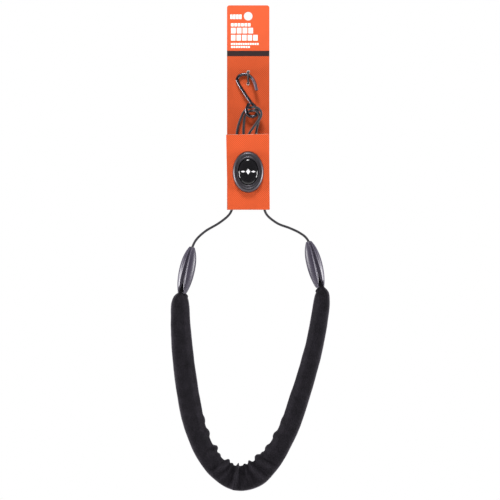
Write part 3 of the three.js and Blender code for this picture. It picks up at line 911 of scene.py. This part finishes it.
def printed_board(name, with_header):
    """Coated paperboard, offset printed: flat orange ink with a fine diamond screen, a satin
    varnish, and pale pulp where a punched hole has torn the print."""
    board, add, place = new_material(name, IOR=1.5, Specular_IOR_Level=0.2)
    x, _, z = add("ShaderNodeSeparateXYZ", [place]).node.outputs
    pitch = 1.35 * MM * math.sqrt(2)
    screen = 1.0
    for way in (PLUS, {"operation": "SUBTRACT"}):
        row = add(MATH, [add(MATH, [x, z], **way), math.pi / pitch], **TIMES)
        screen = add(MATH, [add(MATH, [row], operation="SINE"), screen], **TIMES)
    screen = add(MATH, [screen], operation="ABSOLUTE")
    screen = add(RANGE, [screen, 0.15, 0.8, 1.0, 0.0])
    open_ink, screened = ("#d9582c", "#ab4119") if with_header else ("#ee6234", "#c14b22")
    ink = add(MIX, {0: screen, 6: colour(open_ink), 7: colour(screened)}, **RGBA)
    if with_header:
        above = add(MATH, [z, BAND_TOP], **ABOVE)
        ink = add(MIX, {0: above, 6: ink, 7: colour("#d4572e")}, **RGBA)
        band = add(MATH, [z, (BAND_TOP + BAND_FOOT) / 2, (BAND_TOP - BAND_FOOT) / 2], **WITHIN)
        ink = add(MIX, {0: band, 6: ink, 7: colour("#2b1d1d")}, **RGBA)
        for left, right, low, high, count in PRINT_ROWS:
            step = add(MATH, [x, -left * MM], **PLUS)
            step = add(MATH, [step, count / (right - left) / MM], **TIMES)
            block = add(MATH, [add(MATH, [step], operation="FRACT"), 0.8], **BELOW)
            for axis, near, far in ((x, left, right), (z, low, high)):
                inside = [axis, (near + far) / 2 * MM, (far - near) / 2 * MM]
                block = add(MATH, [block, add(MATH, inside, **WITHIN)], **TIMES)
            ink = add(MIX, {0: block, 6: ink, 7: colour("#fbf3ee")}, **RGBA)
    fibre = add(NOISE, {"Vector": place, "Scale": 900, "Detail": 3, "Roughness": 0.6})
    torn = add(MATH, [fibre, 0.6 * MM], **TIMES)
    for hole in TIE_HOLES:
        rim = add("ShaderNodeVectorMath", [place, (0, 0, hole)], out=1, operation="DISTANCE")
        rim = add(MATH, [rim, torn], **PLUS)
        rim = add(MATH, [rim, TIE_HOLE + 0.5 * MM], **BELOW)
        ink = add(MIX, {0: rim, 6: ink, 7: colour("#f0c9bb")}, **RGBA)
    shift = add(NOISE, {"Vector": place, "Scale": 60, "Detail": 2})
    light = add(RANGE, [shift, 0.3, 0.7, 0.97, 1.03])
    ink = add("ShaderNodeHueSaturation", {"Value": light, "Color": ink})
    gloss = add(RANGE, [fibre, 0.3, 0.7, 0.6, 0.72])
    # board fibres of about 1 mm, 0.01 mm proud
    bump = add(BUMP, {"Height": fibre, "Distance": 0.02 * MM, "Strength": 0.5})
    return finished(board, Base_Color=ink, Roughness=gloss, Normal=bump)


def board_core():
    """Bare grey-beige pulp at a die-cut edge, flecked darker."""
    core, add, place = new_material("board_pulp_edge", Roughness=0.9, IOR=1.45)
    pulp = add(NOISE, {"Vector": place, "Scale": 1800, "Detail": 4})
    tone = add(MIX, {0: pulp, 6: colour("#c9bfb4"), 7: colour("#a69c91")}, **RGBA)
    bump = add(BUMP, {"Height": pulp, "Distance": 0.05 * MM, "Strength": 0.6})
    return finished(core, Base_Color=tone, Normal=bump)


def braided_polyester(name, low, high):
    """Braided polyester cord: matt charcoal yarn, with painted shade where the strands dive under."""
    yarn, add, place = new_material(
        name, Roughness=0.82, IOR=1.5, Sheen_Weight=0.25, Sheen_Roughness=0.5, Specular_IOR_Level=0.3
    )
    # painted shade: the yarn is darker where the strand height is low, in the grooves between strands
    height = add("ShaderNodeAttribute", attribute_name="strand", out="Fac")
    fibre = add(NOISE, {"Vector": place, "Scale": 2600, "Detail": 2})
    level = add(MATH, [fibre, 0.35, height], operation="MULTIPLY_ADD", use_clamp=True)
    tone = add(MIX, {0: level, 6: colour(low), 7: colour(high)}, **RGBA)
    # yarn fibres of about 0.4 mm, coarser than real filaments so that they can show
    bump = add(BUMP, {"Height": fibre, "Distance": 0.04 * MM, "Strength": 0.7})
    return finished(yarn, Base_Color=tone, Normal=bump)


def black_nickel():
    """Bent steel wire, black nickel plated: dark mirror with a slight smoky unevenness,
    rubbed dull and greyer along the tip where it hooks and unhooks."""
    metal, add, place = new_material("black_nickel_plate", Metallic=1.0)
    x, _, z = add("ShaderNodeSeparateXYZ", [place]).node.outputs
    cloud = add(NOISE, {"Vector": place, "Scale": 180, "Detail": 3})
    rubbed = add(RANGE, [x, 2.8 * MM, 5.5 * MM, 0.0, 1.0])
    upper = add(MATH, [z, -76 * MM], **ABOVE)
    rubbed = add(MATH, [rubbed, upper], **TIMES)
    tone = add(MIX, {0: rubbed, 6: colour("#4a474d"), 7: colour("#574d56")}, **RGBA)
    gloss = add(RANGE, [cloud, 0.3, 0.7, 0.24, 0.34])
    dull = add(MATH, [rubbed, 0.32], **TIMES)
    gloss = add(MATH, [gloss, dull], **PLUS)
    bump = add(BUMP, {"Height": cloud, "Distance": 0.02 * MM, "Strength": 0.4})
    return finished(metal, Base_Color=tone, Roughness=gloss, Normal=bump)


def gunmetal_paint():
    """Moulded ABS under gunmetal metallic paint: satin, with a fine sparkle of flake and a
    gloss that drifts a little."""
    paint, add, place = new_material(
        "gunmetal_metallic_paint", Metallic=0.75, Coat_Weight=0.15, Coat_Roughness=0.3
    )
    # flake of about 0.3 mm, coarser than the real 0.03 mm so that it can show
    flake = add("ShaderNodeTexVoronoi", {"Vector": place, "Scale": 3200}, out="Distance")
    cloud = add(NOISE, {"Vector": place, "Scale": 130, "Detail": 3})
    tone = add(MIX, {0: flake, 6: colour("#3e3b40"), 7: colour("#4e4b51")}, **RGBA)
    gloss = add(RANGE, [cloud, 0.3, 0.7, 0.4, 0.48])
    bump = add(BUMP, {"Height": flake, "Distance": 0.01 * MM, "Strength": 0.25})
    return finished(paint, Base_Color=tone, Roughness=gloss, Normal=bump)


# a diamond between tapered dashes: centre, half width and half height in mm
ORNAMENT = [(0, 2.2, 2.9), (-5.1, 2.3, 1.0), (5.1, 2.3, 1.0)]


def gloss_badge():
    """Polished black acrylic badge, wet-looking, with a white printed ornament under the
    polish and faint wipe marks in the gloss."""
    badge, add, place = new_material("polished_black_acrylic", IOR=1.49)
    x, _, z = add("ShaderNodeSeparateXYZ", [place]).node.outputs
    tone = colour("#141316")
    for centre, half_width, half_height in ORNAMENT:
        shares = []
        for axis, middle, half in ((x, centre * MM, half_width), (z, SLIDER.z, half_height)):
            away = add(MATH, [add(MATH, [axis, -middle], **PLUS)], operation="ABSOLUTE")
            shares.append(add(MATH, [away, 1 / (half * MM)], **TIMES))
        shape = add(MATH, [add(MATH, shares, **PLUS), 1.0], **BELOW)
        tone = add(MIX, {0: shape, 6: tone, 7: colour("#e9e7ea")}, **RGBA)
    wipe = add(NOISE, {"Vector": place, "Scale": 260, "Detail": 5, "Distortion": 0.6})
    gloss = add(RANGE, [wipe, 0.35, 0.7, 0.1, 0.18])
    return finished(badge, Base_Color=tone, Roughness=gloss)


def moulded_plastic(name, dark, light, low_gloss, high_gloss, grain):
    """Injection-moulded plastic: body colour and gloss drift a little with the flow of the
    melt, over a fine mould texture (a grain of 0 is a polished mould)."""
    plastic, add, place = new_material(name, IOR=1.53)
    flow = add(NOISE, {"Vector": place, "Scale": 75, "Detail": 3, "Distortion": 0.8})
    fine = add(NOISE, {"Vector": place, "Scale": 2200, "Detail": 2})
    tone = add(MIX, {0: flow, 6: colour(dark), 7: colour(light)}, **RGBA)
    gloss = add(RANGE, [flow, 0.3, 0.7, low_gloss, high_gloss])
    bump = add(BUMP, {"Height": fine, "Distance": grain * MM, "Strength": 0.5})
    return finished(plastic, Base_Color=tone, Roughness=gloss, Normal=bump)


def brushed_knit():
    """Polyester knit with a brushed nap over foam: nearly black face on, greyer where the
    nap is seen edge on, mottled where it lies different ways."""
    knit, add, place = new_material(
        "brushed_black_knit", Roughness=0.95, IOR=1.45, Specular_IOR_Level=0.15,
        Sheen_Weight=0.4, Sheen_Roughness=0.35, Sheen_Tint=colour("#d8cfde"),
    )
    nap = add(NOISE, {"Vector": place, "Scale": 750, "Detail": 4, "Roughness": 0.65})
    drift = add(NOISE, {"Vector": place, "Scale": 110, "Detail": 3})
    # knit loops of about 1.1 mm, twice the real gauge so that they can show
    gauge = {"Vector": place, "Scale": 900, "Randomness": 0.55}
    loops = add("ShaderNodeTexVoronoi", gauge, out="Distance")
    level = add(MATH, [nap, 0.6], **TIMES)
    level = add(MATH, [drift, 0.4, level], operation="MULTIPLY_ADD")
    level = add(RANGE, [level, 0.32, 0.66, 0.0, 1.0])
    tone = add(MIX, {0: level, 6: colour("#0b0a0d"), 7: colour("#242127")}, **RGBA)
    height = add(MATH, [loops, 0.5, nap], operation="MULTIPLY_ADD")
    bump = add(BUMP, {"Height": height, "Distance": 0.16 * MM, "Strength": 0.7})
    return finished(knit, Base_Color=tone, Normal=bump)


def open_foam():
    """Grey open-cell foam: a matt surface of small round pores, with painted shade down in each pore.
    """
    foam, add, place = new_material("open_cell_foam", Roughness=1.0, IOR=1.4)
    pores = add("ShaderNodeTexVoronoi", {"Vector": place, "Scale": 1100}, out="Distance")
    # painted shade: darker towards the middle of each pore
    tone = add(MIX, {0: pores, 6: colour("#2b2b2d"), 7: colour("#58585b")}, **RGBA)
    bump = add(BUMP, {"Height": pores, "Distance": 0.3 * MM, "Strength": 0.8})
    return finished(foam, Base_Color=tone, Normal=bump)


def woven_webbing():
    """Flat woven nylon tape in plain weave, with painted shade where the threads dip between their
    crossings.
    """
    tape, add, place = new_material("woven_nylon_webbing", Roughness=0.7, IOR=1.53, Sheen_Weight=0.2)
    # ribs about 2 mm apart, twice the real ones so that they can show
    ribs = {"Vector": place, "Scale": 160, "Distortion": 0.4}
    warp = add("ShaderNodeTexWave", ribs, bands_direction="X")
    weft = add("ShaderNodeTexWave", ribs, bands_direction="Z")
    weave = add(MATH, [warp, weft], **TIMES)
    # painted shade: the tape is darker where the weave dips, between the threads' crossings
    tone = add(MIX, {0: weave, 6: colour("#121214"), 7: colour("#2f2f33")}, **RGBA)
    bump = add(BUMP, {"Height": weave, "Distance": 0.15 * MM, "Strength": 0.7})
    return finished(tape, Base_Color=tone, Normal=bump)


def dress_cad_node(name, finish):
    """A CAD node whose shape is right keeps it, and takes a finished material."""
    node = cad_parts[name]
    node.data.materials.clear()
    node.data.materials.append(finish)


# ---- studio ----
def soft_light(name, place, aim, size, power):
    lamp = bpy.data.lights.new(name, "AREA")
    lamp.shape = "RECTANGLE"
    lamp.size, lamp.size_y = size
    lamp.energy = power
    light = bpy.data.objects.new(name, lamp)
    light.location = place
    towards = Vector(aim) - Vector(place)
    light.rotation_euler = towards.to_track_quat("-Z", "Y").to_euler()
    bpy.context.scene.collection.objects.link(light)


def make_studio():
    """White surroundings, a key above the front, a softbox at each side, and a pale floor
    well below, lit from overhead."""
    world = bpy.data.worlds.new("white_studio")
    bpy.context.scene.world = world
    world.use_nodes = True
    tree = world.node_tree
    tree.nodes.clear()
    add = partial(add_node, tree)
    seen = add("ShaderNodeLightPath", out="Is Camera Ray")
    strength = add(RANGE, [seen, 0.0, 1.0, 0.13, 1.0])
    sky = add("ShaderNodeBackground", {"Color": (1, 1, 1, 1), "Strength": strength})
    tree.links.new(sky, tree.nodes.new("ShaderNodeOutputWorld").inputs["Surface"])
    bpy.context.scene.view_settings.view_transform = "Standard"
    soft_light("key", (-0.05, -0.45, 0.5), (0, 0, -0.12), (0.2, 0.2), 5.9)
    for side, x in (("left", -1.2), ("right", 1.2)):
        soft_light(f"{side}_softbox", (x, -0.1, -0.3), (0, 0, -0.24), (0.4, 0.5), 30)
    soft_light("overhead_fill", (0, 0.9, 1.1), (0, 0.2, -0.9), (1.8, 1.4), 16)
    bpy.ops.mesh.primitive_circle_add(vertices=96, radius=1.5, fill_type="NGON", location=(0, 0, -0.9))
    floor = settle("studio_floor")
    paper, add, place = new_material("pale_studio_paper", Roughness=0.9)
    grain = add(NOISE, {"Vector": place, "Scale": 40})
    tone = add(MIX, {0: grain, 6: colour("#f4f4f4"), 7: colour("#fafafa")}, **RGBA)
    floor.data.materials.append(finished(paper, Base_Color=tone))


# ---- assembly ----
def make_everything():
    printed_front = printed_board("printed_board_front", True)
    printed_plain = printed_board("printed_board_plain", False)
    core = board_core()
    black_abs = moulded_plastic("black_abs", "#1c1b1e", "#29272c", 0.38, 0.5, 0.02)
    smoke = moulded_plastic("smoke_grey_nylon", "#322e3a", "#3f394a", 0.4, 0.46, 0.0)
    cord_yarn = braided_polyester("braided_polyester_cord", "#0f0e11", "#29272d")
    tie_yarn = braided_polyester("braided_elastic", "#0f0e11", "#282529")
    for cord in cords:
        cord.data.materials.append(cord_yarn)
    tie.data.materials.append(tie_yarn)
    make_back_panel(printed_front, printed_plain, core)
    make_flap(printed_plain, printed_plain, core)
    make_tie_bars(black_abs)
    make_hook(black_nickel())
    make_slider(gunmetal_paint(), gloss_badge(), black_abs)
    for side in CAPS:
        for half in ("outer", "inner"):
            make_cap_half(side, half, smoke)
        dress_cad_node(f"{side}_cord_knot", cord_yarn)
    make_pad(brushed_knit())
    make_foam(open_foam())
    dress_cad_node("pad_webbing", woven_webbing())
    dress_cad_node("slider_cord_guide", black_abs)


make_everything()
make_studio()
